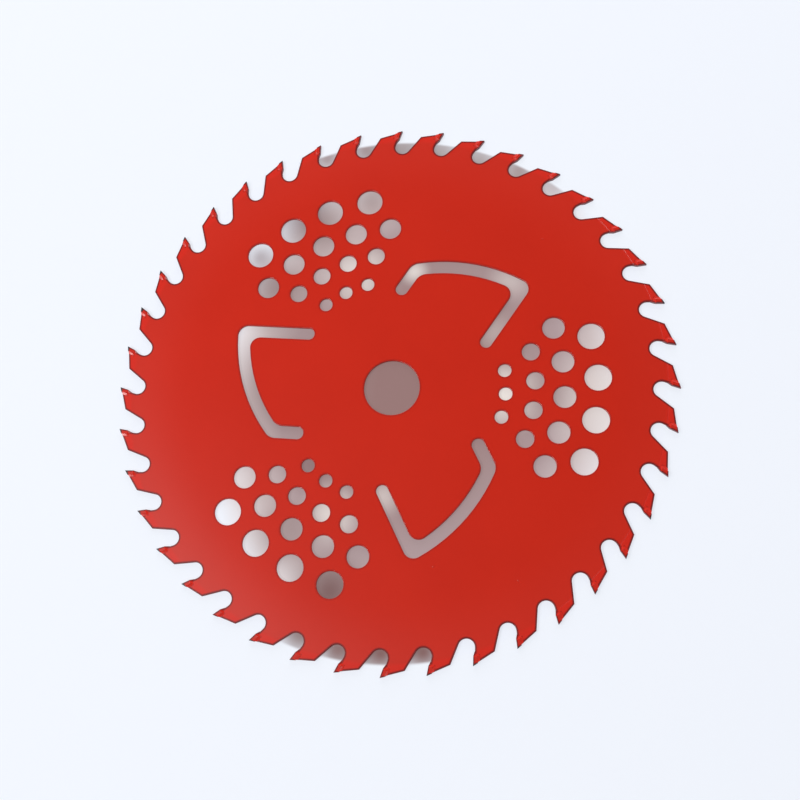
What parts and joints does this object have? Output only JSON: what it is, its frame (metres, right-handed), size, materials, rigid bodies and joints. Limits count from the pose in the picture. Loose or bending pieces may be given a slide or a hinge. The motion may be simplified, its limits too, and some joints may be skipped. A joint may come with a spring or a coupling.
{
  "type": "brush cutter blade",
  "caption": "Red enamelled disc blade with raked carbide-tipped teeth, curved relief slots, graded cooling holes and a plain arbor bore.",
  "frame": {"origin": "centre of the arbor bore, half way through the plate", "axes": "+Z along the bore, +X through the middle of one group of cooling holes; the teeth point clockwise seen from +Z"},
  "size_m": [0.2546, 0.2546, 0.002],
  "materials": {
    "plate_enamel": "glossy red enamel sprayed on tempered sheet steel",
    "painted_carbide": "the same enamel over brazed carbide, rubbed bare and dark at the cutting points"
  },
  "bodies": {
    "root": {"blade_plate": "plate_enamel", "carbide_tip_01": "painted_carbide", "carbide_tip_02": "painted_carbide", "carbide_tip_03": "painted_carbide", "carbide_tip_04": "painted_carbide", "carbide_tip_05": "painted_carbide", "carbide_tip_06": "painted_carbide", "carbide_tip_07": "painted_carbide", "carbide_tip_08": "painted_carbide", "carbide_tip_09": "painted_carbide", "carbide_tip_10": "painted_carbide", "carbide_tip_11": "painted_carbide", "carbide_tip_12": "painted_carbide", "carbide_tip_13": "painted_carbide", "carbide_tip_14": "painted_carbide", "carbide_tip_15": "painted_carbide", "carbide_tip_16": "painted_carbide", "carbide_tip_17": "painted_carbide", "carbide_tip_18": "painted_carbide", "carbide_tip_19": "painted_carbide", "carbide_tip_20": "painted_carbide", "carbide_tip_21": "painted_carbide", "carbide_tip_22": "painted_carbide", "carbide_tip_23": "painted_carbide", "carbide_tip_24": "painted_carbide", "carbide_tip_25": "painted_carbide", "carbide_tip_26": "painted_carbide", "carbide_tip_27": "painted_carbide", "carbide_tip_28": "painted_carbide", "carbide_tip_29": "painted_carbide", "carbide_tip_30": "painted_carbide", "carbide_tip_31": "painted_carbide", "carbide_tip_32": "painted_carbide", "carbide_tip_33": "painted_carbide", "carbide_tip_34": "painted_carbide", "carbide_tip_35": "painted_carbide", "carbide_tip_36": "painted_carbide", "carbide_tip_37": "painted_carbide", "carbide_tip_38": "painted_carbide", "carbide_tip_39": "painted_carbide", "carbide_tip_40": "painted_carbide"}
  },
  "joints": []
}
